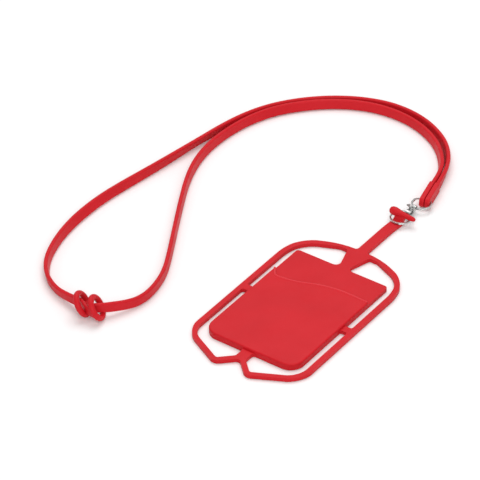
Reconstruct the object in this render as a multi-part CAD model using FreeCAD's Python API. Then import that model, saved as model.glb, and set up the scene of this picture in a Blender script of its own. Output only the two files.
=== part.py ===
import FreeCAD, Part
import math
import os

# Silicone phone and card holder on a two-strap neck lanyard, lying on a flat surface.
# Millimetres. Origin: middle of the card plate's back face, on the surface that it lies on.
# +Y runs towards the neck strap and the clasp, +X across the holder, +Z out of the pocket.

Vec = FreeCAD.Vector
UP = Vec(0, 0, 1)

# ---------------------------------------------------------------- driving dimensions
# holder moulding
HOLDER_T = 2.3            # thickness of the plate, the loop and the neck strap
PLATE_BOTTOM = -45.5      # y of the plate's bottom edge
PLATE_TOP_R = 2.0
PLATE_BOTTOM_R = 8.5
SLOT_GAP = 4.4            # open gap between the plate's side and the loop's band
TOP_GAP = 19.0            # from the plate's top edge up to the loop's crown
BOTTOM_GAP = 17.9         # from the plate's bottom edge down to the corners of the loop's two lobes
LOOP_SIDE_BAND = 3.2      # width of the loop's band along its sides
LOOP_TOP_BAND = 3.1
LOOP_BOTTOM_BAND = 2.8
LOOP_LEG_BAND = 3.0
SHOULDER_INSET = 24.6     # from the loop's side in to the end of its straight crown
CORNER_INSET = 4.1        # from the loop's side in to its upper corner
CORNER_DROP = 9.0         # from the crown down to the upper corner
SIDE_DROP = 22.5          # from the crown down to the top of the straight side
FOOT_RISE = 13.9          # from the lobes up to the foot of the straight side
LOBE_X = 10.2             # x of a lobe's corner
NOTCH_RISE = 9.8          # from the lobes up to the notch between them
BRIDGE_W = 4.4            # side bridges between the plate and the loop
TOP_WEB_WAIST = 4.8       # width of the top web where its sides meet the plate
TOP_WEB_SPREAD = 14.6     # width of the top web where it meets the loop
BOTTOM_WEB_W = 6.4
NECK_W = 6.0              # width of the holder's own neck strap
NECK_ROOT = 3.5           # length of the neck that belongs to the loop moulding

# card pocket, for a card of 85.6 x 54 x 0.76
CARD_L = 85.6
CARD_W = 54.0
CARD_T = 0.76
CARD_SIDE_CLEARANCE = 0.45
CARD_FACE_CLEARANCE = 0.04
POCKET_SHEET = 1.0        # thickness of the pocket's front sheet
POCKET_SIDE_WALL = 2.55
POCKET_BOTTOM_WALL = 2.6
PLATE_OVER_CARD = 1.8     # plate left above a card that is pushed right down
POCKET_EDGE_R = 0.8       # rounding of the pocket's outer edge
# the mouth's edge from left to right: place across the pocket, from -1 to 1, and depth below the plate's top
MOUTH = [(-1.0, 22.4), (-0.9, 26.3), (-0.65333, 28.1), (-0.28667, 25.6), (0.08, 21.1), (0.43333, 19.6),
         (1.0, 20.0)]

# chrome hardware
WIRE = 1.1                # height and width of a split ring's doubled wire
WIRE_R = 0.25             # rounding of the doubled wire's corners
LOWER_RING_R = 5.9        # middle radius of the ring round the neck strap
UPPER_RING_R = 5.4        # middle radius of the ring through the lanyard's tabs
RING_OVER_NECK = 0.2      # air between the neck strap and the ring that crosses it
RING_PLAY = 0.2           # air round the ring in the hook, the eye and the tabs
LOWER_RING_X = 0.8
LOWER_RING_Y = 101.8      # places the clasp and the tabs, where the straps' routes begin
UPPER_RING_X = 3.1
CLASP_X = 2.3             # x of the clasp's long axis
CLASP_W = 2.6             # width of the clasp's body across the axis
HOOK_T = 1.05             # thickness of the hook round the ring
HOOK_PLAY = 0.18          # more air between the hook and the ring's own space
PIVOT_S = 3.5             # distance from the hooked ring to the trigger's rivet
PIVOT_H = 1.0             # height of the rivet above the clasp's axis
BODY_END_S = 5.4          # distance from the hooked ring to the end of the clasp's body
EYE_S = 6.85              # distance from the hooked ring to the ring in the swivel's eye
EYE_R = 1.4
EYE_T = 1.5
POST_R = 0.5
POST_PLAY = 0.06
RIVET_R = 0.38
RIVET_PLAY = 0.05
RIVET_HEAD_R = 0.62
RIVET_HEAD_T = 0.2
TRIGGER_T = 0.7           # thickness of the trigger's hub in the body's slot
TRIGGER_PLAY = 0.1
SPRING_WIRE = 0.2
SPRING_PLAY = 0.06

# stopper head on the neck strap
HEAD_D = 3.6
HEAD_L = 17.0
HEAD_OVER_RING = 0.25
HEAD_X = 2.2
HEAD_BACK = 0.2           # from the lower ring's middle back to the head's

# lanyard straps, which stand on edge
STRAP_T = 2.4
STRAP_W = 6.2
STRAP_Z = STRAP_W / 2
TAB_T = 2.9
TAB_W = 6.6
TAB_GAP = 0.3             # air between the two tabs, side by side on the ring
TAB_L = 19.5              # tab length from its rounded end to its shoulder
TAB_END = 6.0             # from the tab's hole to its rounded end
TAB_TILT = 13.5           # turn of the tabs from +Y, towards -X, in degrees
TAB_HOLE_X = 3.4          # middle of the pair of tabs over the ring
HOOP_R = 6.0              # middle radius of the moulded hoop at each strap's end
HOOP_WIRE_R = 1.6
STEM_R = 1.5
HOOP_AXIS = Vec(0.78, 0.39, 0.50)
OUTER_HOOP = Vec(-85.0, -66.8, 6.85)
INNER_HOOP = Vec(-93.4, -68.6, 6.85)

# ---------------------------------------------------------------- worked-out sizes
HALF_PLATE = CARD_W / 2 + CARD_SIDE_CLEARANCE + POCKET_SIDE_WALL
PLATE_TOP = PLATE_BOTTOM + POCKET_BOTTOM_WALL + CARD_L + PLATE_OVER_CARD
HALF_LOOP = HALF_PLATE + SLOT_GAP + LOOP_SIDE_BAND
LOOP_CROWN = PLATE_TOP + TOP_GAP
LOOP_LOBE = PLATE_BOTTOM - BOTTOM_GAP
CARD_SLOT = CARD_T + CARD_FACE_CLEARANCE
POCKET_TOP = HOLDER_T + CARD_SLOT + POCKET_SHEET
RING_Z = HOLDER_T + RING_OVER_NECK + WIRE / 2
# largest distance from the doubled wire's middle to its rounded corner
WIRE_REACH = (WIRE / 2 - WIRE_R) * math.sqrt(2) + WIRE_R
RING_BORE_R = WIRE_REACH + RING_PLAY
HOOK_R = RING_BORE_R + HOOK_PLAY
LOWER_RING = Vec(LOWER_RING_X, LOWER_RING_Y, RING_Z)
HOOK = LOWER_RING + Vec(CLASP_X - LOWER_RING_X,
                        math.sqrt(LOWER_RING_R ** 2 - (CLASP_X - LOWER_RING_X) ** 2), 0)
EYE = HOOK + Vec(0, EYE_S, 0)
UPPER_RING = EYE + Vec(UPPER_RING_X - CLASP_X,
                       math.sqrt(UPPER_RING_R ** 2 - (UPPER_RING_X - CLASP_X) ** 2), 0)
HEAD_Y = LOWER_RING_Y - HEAD_BACK
HEAD_Z = RING_Z + WIRE / 2 + HEAD_OVER_RING + HEAD_D / 2


# ---------------------------------------------------------------- helpers
def corner(before, at, after, radius):
    """Tangent points and middle of the arc that rounds one corner of an outline."""
    a = (before - at).normalize()
    b = (after - at).normalize()
    half = math.acos(max(-1.0, min(1.0, a.dot(b)))) / 2
    reach = radius / math.tan(half)
    centre = at + (a + b).normalize() * (radius / math.sin(half))
    middle = centre + (at - centre).normalize() * radius
    return at + a * reach, middle, at + b * reach


def rounded_edges(points, closed=True):
    """Edges of a flat outline, given as (x, y, corner radius)."""
    place = [Vec(p[0], p[1], 0) for p in points]
    count = len(points)
    spans = []
    for i, p in enumerate(points):
        if p[2] > 0 and (closed or 0 < i < count - 1):
            spans.append(corner(place[i - 1], place[i], place[(i + 1) % count], p[2]))
        else:
            spans.append((place[i], None, place[i]))
    edges = []
    for i in range(count):
        start, middle, end = spans[i]
        if middle is not None:
            edges.append(Part.Arc(start, middle, end).toShape())
        if closed or i < count - 1:
            following = spans[(i + 1) % count][0]
            if end.distanceToPoint(following) > 1e-6:
                edges.append(Part.LineSegment(end, following).toShape())
    return edges


def outline_face(points):
    return Part.Face(Part.Wire(rounded_edges(points)))


def plate_solid(points, low, high):
    """A flat plate between two heights."""
    face = outline_face(points)
    face.translate(Vec(0, 0, low))
    return face.extrude(Vec(0, 0, high - low))


def side_solid(points, x_low, x_high):
    """A plate whose outline is given as (y, z, corner radius), between two values of x."""
    face = outline_face(points)
    # turn the outline's x and y into the part's y and z
    face.transformShape(FreeCAD.Matrix(0, 0, 1, 0, 1, 0, 0, 0, 0, 1, 0, 0, 0, 0, 0, 1))
    face.translate(Vec(x_low, 0, 0))
    return face.extrude(Vec(x_high - x_low, 0, 0))


def mirrored(points):
    """The same outline on the other side of x = 0, still running the same way round."""
    return [(-p[0], p[1], p[2]) for p in reversed(points)]


def offset_line(start, end, distance):
    """The line through two points, moved to its left."""
    along = (end - start).normalize()
    shift = Vec(-along.y, along.x, 0) * distance
    return start + shift, along


def meet(first, second):
    """Where two flat lines, each a point and a direction, cross."""
    p, d = first
    q, e = second
    cross = d.x * e.y - d.y * e.x
    reach = ((q.x - p.x) * e.y - (q.y - p.y) * e.x) / cross
    return p + d * reach


def ribbon_points(points, width):
    """Outline of a ribbon of even width along a middle line given as (x, y, bend radius)."""
    middle = [Vec(p[0], p[1], 0) for p in points]
    sides = []
    for sign in (1, -1):
        lines = [offset_line(a, b, sign * width / 2) for a, b in zip(middle, middle[1:])]
        side = [lines[0][0]]
        side += [meet(a, b) for a, b in zip(lines, lines[1:])]
        side.append(offset_line(middle[-2], middle[-1], sign * width / 2)[0] + (middle[-1] - middle[-2]))
        sides.append([(v.x, v.y, p[2]) for v, p in zip(side, points)])
    return sides[0] + sides[1][::-1]


def sized_rod(start, end, radius):
    """A round rod between two points."""
    return Part.makeCylinder(radius, start.distanceToPoint(end), start, end - start)


def ring_solid(centre, radius):
    """A split ring's closed outline: two flat turns of wire, one on the other."""
    half = WIRE / 2
    groove = 0.12
    section = [(radius - half, -half, WIRE_R), (radius + half, -half, WIRE_R), (radius + half, -groove, 0),
               (radius + half - groove, 0, 0), (radius + half, groove, 0), (radius + half, half, WIRE_R),
               (radius - half, half, WIRE_R), (radius - half, groove, 0), (radius - half + groove, 0, 0),
               (radius - half, -groove, 0)]
    face = outline_face(section)
    face.rotate(Vec(0, 0, 0), Vec(1, 0, 0), 90)
    ring = face.revolve(Vec(0, 0, 0), UP, 360)
    ring.translate(centre)
    return ring


def ring_bore(centre, radius):
    """The space that a split ring needs where it passes through another piece."""
    return Part.makeTorus(radius, RING_BORE_R, centre, UP)


def export(shape, node):
    """Write one node, after checking that it is one valid closed solid."""
    solid = shape.Solids[0] if len(shape.Solids) == 1 else shape
    good = len(shape.Solids) == 1 and solid.isValid() and solid.Volume > 0
    print("%-20s %9.2f mm3 %s" % (node, solid.Volume, "ok" if good else "CHECK"))
    solid.exportStep("parts/%s.step" % node)


# ---------------------------------------------------------------- holder moulding
plate_outline = [(-HALF_PLATE, PLATE_BOTTOM, PLATE_BOTTOM_R), (HALF_PLATE, PLATE_BOTTOM, PLATE_BOTTOM_R),
                 (HALF_PLATE, PLATE_TOP, PLATE_TOP_R), (-HALF_PLATE, PLATE_TOP, PLATE_TOP_R)]
card_plate = plate_solid(plate_outline, 0, HOLDER_T)

# right half of the loop's outline, from the neck round to the notch
SHOULDER = Vec(HALF_LOOP - SHOULDER_INSET, LOOP_CROWN, 0)
CROWN_CORNER = Vec(HALF_LOOP - CORNER_INSET, LOOP_CROWN - CORNER_DROP, 0)
SIDE_TOP = Vec(HALF_LOOP, LOOP_CROWN - SIDE_DROP, 0)
SIDE_FOOT = Vec(HALF_LOOP, LOOP_LOBE + FOOT_RISE, 0)
LOBE = Vec(LOBE_X, LOOP_LOBE, 0)
NOTCH = Vec(0, LOOP_LOBE + NOTCH_RISE, 0)
SHOULDER_R = 40.0
CROWN_CORNER_R = 20.0
SIDE_TOP_R = 30.0
SIDE_FOOT_R = 15.0
LOBE_R = 4.5
NOTCH_R = 2.5
NECK_FILLET = 2.0
neck_start = LOOP_CROWN + NECK_ROOT

half_outline = [(NECK_W / 2, neck_start, 0), (NECK_W / 2, LOOP_CROWN, NECK_FILLET),
                (SHOULDER.x, SHOULDER.y, SHOULDER_R), (CROWN_CORNER.x, CROWN_CORNER.y, CROWN_CORNER_R),
                (SIDE_TOP.x, SIDE_TOP.y, SIDE_TOP_R), (SIDE_FOOT.x, SIDE_FOOT.y, SIDE_FOOT_R),
                (LOBE.x, LOBE.y, LOBE_R)]
loop_outline = half_outline + [(NOTCH.x, NOTCH.y, NOTCH_R)] + mirrored(half_outline)

# the band's inner lines; the outline runs clockwise, so inwards is to its right
crown_inner = offset_line(Vec(0, LOOP_CROWN, 0), SHOULDER, -LOOP_TOP_BAND)
slope_inner = offset_line(SHOULDER, CROWN_CORNER, -LOOP_TOP_BAND)
turn_inner = offset_line(CROWN_CORNER, SIDE_TOP, -LOOP_SIDE_BAND)
side_inner = offset_line(SIDE_TOP, SIDE_FOOT, -LOOP_SIDE_BAND)
lobe_inner = offset_line(SIDE_FOOT, LOBE, -LOOP_BOTTOM_BAND)
leg_inner = offset_line(LOBE, NOTCH, -LOOP_LEG_BAND)
slot_outer = HALF_LOOP - LOOP_SIDE_BAND
WINDOW_R = 1.2            # rounding of the slots' ends
WEB_ROOT_R = 3.4          # fillet between the top web and the plate
WEB_TIP_R = 0.8
LEG_R = 1.6
web_line = (Vec(BOTTOM_WEB_W / 2, 0, 0), Vec(0, 1, 0))

inner_shoulder = meet(crown_inner, slope_inner)
inner_crown_corner = meet(slope_inner, turn_inner)
inner_side_top = meet(turn_inner, side_inner)
inner_foot = meet(side_inner, lobe_inner)
inner_lobe = meet(lobe_inner, leg_inner)
web_fork = meet(web_line, leg_inner)

upper_window = [(HALF_PLATE, BRIDGE_W / 2, WINDOW_R), (HALF_PLATE, PLATE_TOP, PLATE_TOP_R),
                (TOP_WEB_WAIST / 2, PLATE_TOP, WEB_ROOT_R),
                (TOP_WEB_SPREAD / 2, LOOP_CROWN - LOOP_TOP_BAND, WEB_TIP_R),
                (inner_shoulder.x, inner_shoulder.y, 5.0),
                (inner_crown_corner.x, inner_crown_corner.y, CROWN_CORNER_R - LOOP_TOP_BAND),
                (inner_side_top.x, inner_side_top.y, SIDE_TOP_R - LOOP_SIDE_BAND),
                (slot_outer, BRIDGE_W / 2, WINDOW_R)]
lower_window = [(HALF_PLATE, -BRIDGE_W / 2, WINDOW_R), (slot_outer, -BRIDGE_W / 2, WINDOW_R),
                (inner_foot.x, inner_foot.y, SIDE_FOOT_R - LOOP_SIDE_BAND),
                (inner_lobe.x, inner_lobe.y, LEG_R), (web_fork.x, web_fork.y, LEG_R),
                (BOTTOM_WEB_W / 2, PLATE_BOTTOM, LEG_R), (HALF_PLATE, PLATE_BOTTOM, PLATE_BOTTOM_R)]

stretch_loop = plate_solid(loop_outline, 0, HOLDER_T)
for window in (upper_window, lower_window):
    for outline in (window, mirrored(window)):
        stretch_loop = stretch_loop.cut(plate_solid(outline, -1, HOLDER_T + 1))
stretch_loop = stretch_loop.cut(card_plate)

# ---------------------------------------------------------------- pocket front
card_half = CARD_W / 2 + CARD_SIDE_CLEARANCE
mouth = [Vec(across * HALF_PLATE, PLATE_TOP - depth, 0) for across, depth in MOUTH]
lips_and_foot = [(mouth[0].x, mouth[0].y, 0), (-HALF_PLATE, PLATE_BOTTOM, PLATE_BOTTOM_R),
                 (HALF_PLATE, PLATE_BOTTOM, PLATE_BOTTOM_R), (mouth[-1].x, mouth[-1].y, 0)]
mouth_curve = Part.BSplineCurve()
mouth_curve.interpolate(mouth[::-1])
pocket_face = Part.Face(Part.Wire(rounded_edges(lips_and_foot, closed=False) + [mouth_curve.toShape()]))
pocket_face.translate(Vec(0, 0, HOLDER_T))
pocket_front = pocket_face.extrude(Vec(0, 0, POCKET_TOP - HOLDER_T))
outer_edges = []
for edge in pocket_front.Edges:
    box = edge.BoundBox
    on_top = box.ZMin > POCKET_TOP - 1e-3
    on_mouth = edge.Curve.TypeId == "Part::GeomBSplineCurve"
    if on_top and not on_mouth:
        outer_edges.append(edge)
pocket_front = pocket_front.makeFillet(POCKET_EDGE_R, outer_edges)
CARD_CORNER_R = 6.0       # rounding of the pocket's inner corners, close to the plate's own
card_floor = PLATE_BOTTOM + POCKET_BOTTOM_WALL
card_space = plate_solid([(-card_half, card_floor, CARD_CORNER_R), (card_half, card_floor, CARD_CORNER_R),
                          (card_half, PLATE_TOP, 0), (-card_half, PLATE_TOP, 0)],
                         HOLDER_T - 1, HOLDER_T + CARD_SLOT)
pocket_front = pocket_front.cut(card_space)

# ---------------------------------------------------------------- neck strap and stopper head
# the strap lies flat until its whole width is past the ring's wire, then rises to the head
RISE_R = 2.4
wire_passed = LOWER_RING_Y - math.sqrt((LOWER_RING_R - WIRE / 2) ** 2 - (NECK_W / 2 + 0.2) ** 2)
RISE_PAST_RING = 1.4      # from the ring's wire to where the strap turns up
RISE_Y = wire_passed + RISE_PAST_RING
NECK_BEND_Y = LOWER_RING_Y - 13.8
NECK_BEND_R = 30.0
NECK_END_X = 1.4
plan = ribbon_points([(0, neck_start, 0), (0, NECK_BEND_Y, NECK_BEND_R), (NECK_END_X, HEAD_Y, 0)], NECK_W)
side = ribbon_points([(neck_start, HOLDER_T / 2, 0), (RISE_Y, HOLDER_T / 2, RISE_R), (HEAD_Y, HEAD_Z, 0)],
                     HOLDER_T)
neck_plan = plate_solid(plan, -1, HEAD_Z + HEAD_D)
neck_side = side_solid(side, -NECK_W * 2, NECK_W * 2)
head_start = Vec(HEAD_X - HEAD_L / 2 + HEAD_D / 2, HEAD_Y, HEAD_Z)
head_end = Vec(HEAD_X + HEAD_L / 2 - HEAD_D / 2, HEAD_Y, HEAD_Z)
stopper_head = sized_rod(head_start, head_end, HEAD_D / 2)
stopper_head = stopper_head.fuse(Part.makeSphere(HEAD_D / 2, head_start))
stopper_head = stopper_head.fuse(Part.makeSphere(HEAD_D / 2, head_end)).removeSplitter()
holder_neck = neck_plan.common(neck_side).cut(stopper_head)
holder_neck = max(holder_neck.Solids, key=lambda s: s.Volume)

# ---------------------------------------------------------------- split rings
lower_ring = ring_solid(LOWER_RING, LOWER_RING_R)
upper_ring = ring_solid(UPPER_RING, UPPER_RING_R)


# ---------------------------------------------------------------- clasp
def clasp_outline(points):
    """Points given as (distance from the hooked ring, height above its wire, radius)."""
    return [(HOOK.y + s, HOOK.z + h, r) for s, h, r in points]


hook_outer = HOOK_R + HOOK_T
clasp_low = CLASP_X - CLASP_W / 2
clasp_high = CLASP_X + CLASP_W / 2
tail_half = 1.35
ear_r = 1.15
TIP_S = 0.75              # where the hook's tip ends
GATE_END_S = 2.5          # where the ears begin
CAVITY_S = 1.9            # middle of the round end of the hook's cavity

body_outline = [(-hook_outer, hook_outer, hook_outer * 0.98), (-hook_outer, -hook_outer, hook_outer * 0.98),
                (PIVOT_S - 0.3, -hook_outer, 1.0), (BODY_END_S - 0.7, -tail_half, 0.5),
                (BODY_END_S, -tail_half, 0.2), (BODY_END_S, tail_half, 0.2),
                (PIVOT_S + ear_r, tail_half, 0.3), (PIVOT_S + ear_r, hook_outer, 0.6)]
clasp_body = side_solid(clasp_outline(body_outline), clasp_low, clasp_high)
cavity = side_solid(clasp_outline([(-HOOK_R, HOOK_R, HOOK_R * 0.98), (-HOOK_R, -HOOK_R, HOOK_R * 0.98),
                                   (CAVITY_S + HOOK_R, -HOOK_R, HOOK_R * 0.98),
                                   (CAVITY_S + HOOK_R, HOOK_R, HOOK_R * 0.98)]),
                    clasp_low - 1, clasp_high + 1)
gate_gap = side_solid(clasp_outline([(TIP_S, 0.3, 0), (GATE_END_S, 0.3, 0), (GATE_END_S, 4.0, 0),
                                     (TIP_S, 4.0, 0)]), clasp_low - 1, clasp_high + 1)
slot_half = TRIGGER_T / 2 + TRIGGER_PLAY + SPRING_WIRE + SPRING_PLAY
hub_r = 0.85
SLOT_END_S = PIVOT_S + hub_r + 0.1
slot = side_solid(clasp_outline([(GATE_END_S - 0.5, 0.0, 0), (SLOT_END_S, 0.0, 0), (SLOT_END_S, 4.0, 0),
                                 (GATE_END_S - 0.5, 4.0, 0)]), CLASP_X - slot_half, CLASP_X + slot_half)
pivot = Vec(CLASP_X, HOOK.y + PIVOT_S, HOOK.z + PIVOT_H)
rivet_low = Vec(clasp_low - RIVET_HEAD_T, pivot.y, pivot.z)
rivet_high = Vec(clasp_high + RIVET_HEAD_T, pivot.y, pivot.z)
rivet = sized_rod(rivet_low, rivet_high, RIVET_R)
for face_x, outwards in ((clasp_low, -1), (clasp_high, 1)):
    root = Vec(face_x, pivot.y, pivot.z)
    rivet = rivet.fuse(sized_rod(root, root + Vec(outwards * RIVET_HEAD_T, 0, 0), RIVET_HEAD_R))
rivet = rivet.removeSplitter()

HEAD_POCKET = 0.35        # depth of the pocket for the swivel post's head
POST_HEAD_R = 0.85
POST_HEAD_T = 0.25
head_s = SLOT_END_S
post_hole = sized_rod(HOOK + Vec(0, head_s - 0.1, 0), HOOK + Vec(0, BODY_END_S + 1, 0), POST_R + POST_PLAY)
head_pocket = sized_rod(HOOK + Vec(0, head_s - 0.1, 0), HOOK + Vec(0, head_s + HEAD_POCKET, 0),
                        POST_HEAD_R + POST_PLAY)
for tool in (cavity, gate_gap, slot, post_hole, head_pocket, rivet, ring_bore(LOWER_RING, LOWER_RING_R)):
    clasp_body = clasp_body.cut(tool)

# ---------------------------------------------------------------- trigger, its spring, the swivel eye
ARM_END_S = TIP_S + 0.1
PAD_HALF = 1.1            # half the width of the gate in front of the ears
arm_top = hook_outer - 0.05
hub = sized_rod(pivot - Vec(TRIGGER_T / 2, 0, 0), pivot + Vec(TRIGGER_T / 2, 0, 0), hub_r)
arm = side_solid(clasp_outline([(ARM_END_S, HOOK_R + 0.05, 0.15), (PIVOT_S, PIVOT_H - hub_r + 0.25, 0),
                                (PIVOT_S + 0.3, PIVOT_H + 0.6, 0), (GATE_END_S, arm_top, 0.2),
                                (ARM_END_S, arm_top, 0.3)]),
                 CLASP_X - TRIGGER_T / 2, CLASP_X + TRIGGER_T / 2)
gate = side_solid(clasp_outline([(ARM_END_S, HOOK_R + 0.05, 0.15), (GATE_END_S - 0.2, HOOK_R + 0.05, 0.1),
                                 (GATE_END_S - 0.2, arm_top, 0.1), (ARM_END_S, arm_top, 0.3)]),
                  CLASP_X - PAD_HALF, CLASP_X + PAD_HALF)
LEVER_H = 5.2             # height of the thumb lever's tip above the clasp's axis
lever_root = arm_top - 0.4
lever_outline = [(GATE_END_S - 0.8, lever_root, 0), (GATE_END_S - 0.9, LEVER_H - 0.2, 0.25),
                 (GATE_END_S - 0.3, LEVER_H, 0.25), (GATE_END_S + 0.1, lever_root, 0)]
lever = side_solid(clasp_outline(lever_outline), CLASP_X - TRIGGER_T / 2, CLASP_X + TRIGGER_T / 2)
pad_outline = [(GATE_END_S - 0.85, LEVER_H - 1.2, 0.1), (GATE_END_S - 0.9, LEVER_H - 0.2, 0.25),
               (GATE_END_S - 0.3, LEVER_H, 0.25), (GATE_END_S - 0.15, LEVER_H - 1.2, 0.1)]
lever_pad = side_solid(clasp_outline(pad_outline), CLASP_X - PAD_HALF, CLASP_X + PAD_HALF)
LEVER_LEAN = 28.0         # the thumb lever leans to the clasp's left, in degrees
lever = lever.fuse(lever_pad).removeSplitter()
lever.rotate(Vec(CLASP_X, 0, HOOK.z + lever_root), Vec(0, 1, 0), -LEVER_LEAN)
# the gate swings into the hook, so its front is round about the pivot
sweep_r = PIVOT_S - ARM_END_S
gate = gate.common(sized_rod(pivot - Vec(CLASP_W, 0, 0), pivot + Vec(CLASP_W, 0, 0), sweep_r))
arm = arm.common(sized_rod(pivot - Vec(CLASP_W, 0, 0), pivot + Vec(CLASP_W, 0, 0), sweep_r))
trigger = hub.fuse([arm, gate, lever])
trigger = trigger.cut(sized_rod(rivet_low, rivet_high, RIVET_R + RIVET_PLAY)).removeSplitter()

spring_r = RIVET_R + SPRING_PLAY + SPRING_WIRE / 2
spring_x = CLASP_X + TRIGGER_T / 2 + TRIGGER_PLAY + SPRING_WIRE / 2
coil_middle = Vec(spring_x, pivot.y, pivot.z)
spring = Part.makeTorus(spring_r, SPRING_WIRE / 2, coil_middle, Vec(1, 0, 0))
LEG_L = 1.15
for turn in (180.0, 265.0):
    way = Vec(0, math.cos(math.radians(turn)), math.sin(math.radians(turn)))
    across = Vec(0, -way.z, way.y)
    foot = coil_middle + across * spring_r
    leg_length = LEG_L if turn < 200 else 0.85
    spring = spring.fuse(sized_rod(foot, foot + way * leg_length, SPRING_WIRE / 2))
spring = spring.removeSplitter()

COLLAR_R = 0.95
COLLAR_T = 0.3
COLLAR_PLAY = 0.06
post_start = HOOK + Vec(0, head_s + COLLAR_PLAY - 0.01, 0)
collar_start = HOOK + Vec(0, BODY_END_S + COLLAR_PLAY, 0)
swivel_eye = sized_rod(post_start, post_start + Vec(0, POST_HEAD_T, 0), POST_HEAD_R)
swivel_eye = swivel_eye.fuse(sized_rod(post_start, HOOK + Vec(0, EYE_S - 0.6, 0), POST_R))
swivel_eye = swivel_eye.fuse(sized_rod(collar_start, collar_start + Vec(0, COLLAR_T, 0), COLLAR_R))
swivel_eye = swivel_eye.fuse(sized_rod(EYE - Vec(EYE_T / 2, 0, 0), EYE + Vec(EYE_T / 2, 0, 0), EYE_R))
swivel_eye = swivel_eye.cut(ring_bore(UPPER_RING, UPPER_RING_R))
swivel_eye = swivel_eye.cut(sized_rod(EYE - Vec(EYE_T, 0, 0), EYE + Vec(EYE_T, 0, 0), RING_BORE_R))
swivel_eye = swivel_eye.removeSplitter()

# ---------------------------------------------------------------- lanyard tabs
tab_hole = Vec(TAB_HOLE_X, UPPER_RING.y + math.sqrt(UPPER_RING_R ** 2 - (TAB_HOLE_X - UPPER_RING.x) ** 2), 0)
tab_along = Vec(-math.sin(math.radians(TAB_TILT)), math.cos(math.radians(TAB_TILT)), 0)
tab_across = Vec(tab_along.y, -tab_along.x, 0)
TAB_SHOULDER_R = 1.2


def strap_tab(side_sign):
    """A strap's thicker end, with the hole that the upper ring passes through."""
    middle = (TAB_GAP + TAB_T) / 2 * side_sign
    far = TAB_L - TAB_END
    outline = [(-TAB_END, 0, TAB_W * 0.45), (-TAB_END, TAB_W, TAB_W * 0.45),
               (far, TAB_W, TAB_SHOULDER_R), (far, 0, 0)]
    tab = side_solid(outline, middle - TAB_T / 2, middle + TAB_T / 2)
    tab.rotate(Vec(0, 0, 0), UP, TAB_TILT)
    tab.translate(tab_hole)
    return tab.cut(ring_bore(UPPER_RING, UPPER_RING_R))


outer_tab = strap_tab(1)
inner_tab = strap_tab(-1)

# ---------------------------------------------------------------- lanyard straps
# The routes of the straps' middle lines. Each starts on its tab's shoulder and ends on its hoop's stem.
shoulder_middle = tab_hole + tab_along * (TAB_L - TAB_END) + Vec(0, 0, STRAP_Z)
strap_side = (TAB_GAP + STRAP_T) / 2
outer_start = shoulder_middle + tab_across * strap_side
inner_start = shoulder_middle - tab_across * strap_side
OUTER_ROUTE = [(-9.6, 168.0, 3.1), (-21.4, 180.2, 3.1), (-39.8, 189.6, 3.1),
               (-60.2, 192.1, 3.1), (-78.9, 187.3, 3.1), (-96.2, 177.2, 3.1), (-110.4, 164.0, 3.1),
               (-121.2, 149.2, 3.1), (-128.3, 132.8, 3.1), (-133.0, 114.6, 3.1), (-136.0, 97.0, 3.1),
               (-138.4, 78.0, 3.1), (-141.2, 58.0, 3.1), (-144.4, 39.0, 3.1), (-146.9, 21.0, 3.1),
               (-147.4, 3.0, 3.1), (-146.0, -14.0, 3.1), (-142.4, -30.0, 3.1), (-136.4, -45.2, 3.1),
               (-127.0, -57.0, 3.1), (-115.0, -63.6, 3.3), (-105.5, -65.6, 4.2), (-99.6, -66.8, 5.3)]
INNER_ROUTE = [(-12.6, 165.0, 3.1), (-24.4, 176.2, 3.1), (-41.6, 184.4, 3.1),
               (-59.8, 186.7, 3.1), (-77.3, 183.5, 3.1), (-94.0, 174.6, 3.1), (-107.8, 161.9, 3.1),
               (-118.3, 147.6, 3.1), (-124.6, 131.4, 3.1), (-127.6, 113.4, 3.1), (-127.7, 96.0, 3.1),
               (-124.8, 79.5, 3.1), (-118.4, 62.0, 3.1), (-108.0, 41.8, 3.1), (-95.8, 19.4, 3.1),
               (-84.4, -1.2, 3.1), (-76.6, -16.4, 3.1), (-72.7, -31.0, 3.1), (-72.3, -43.0, 3.2),
               (-75.6, -52.6, 3.9), (-80.0, -59.6, 5.2)]


def route_edges(points, name):
    """Straight runs joined by tangent arcs, and the smallest arc's radius."""
    edges = []
    radii = []
    start = points[0]
    for before, at, after in zip(points, points[1:], points[2:]):
        a = (before - at).normalize()
        b = (after - at).normalize()
        half = math.acos(max(-1.0, min(1.0, a.dot(b)))) / 2
        shorter = min(before.distanceToPoint(at), at.distanceToPoint(after))
        radius = 0.45 * shorter * math.tan(half)
        radii.append(radius)
        first, middle, last = corner(before, at, after, radius)
        edges.append(Part.LineSegment(start, first).toShape())
        edges.append(Part.Arc(first, middle, last).toShape())
        start = last
    edges.append(Part.LineSegment(start, points[-1]).toShape())
    print("%s radii: %s" % (name, " ".join("%.0f" % r for r in radii)))
    return edges


def strap_tube(points, name):
    """A flat strap standing on edge along a route."""
    edges = route_edges(points, name)
    spine = Part.Wire(edges)
    along = (points[1] - points[0]).normalize()
    across = Vec(along.y, -along.x, 0).normalize() * (STRAP_T / 2)
    rise = Vec(0, 0, STRAP_W / 2)
    corners = [points[0] + across - rise, points[0] + across + rise,
               points[0] - across + rise, points[0] - across - rise]
    section = Part.makePolygon(corners + [corners[0]])
    sweep = Part.BRepOffsetAPI.MakePipeShell(spine)
    sweep.setBiNormalMode(UP)
    sweep.add(section)
    sweep.build()
    sweep.makeSolid()
    tube = sweep.shape()
    expected = STRAP_T * STRAP_W * spine.Length
    print("%s length %.1f mm, volume %.0f of %.0f" % (name, spine.Length, tube.Volume, expected))
    return tube


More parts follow.
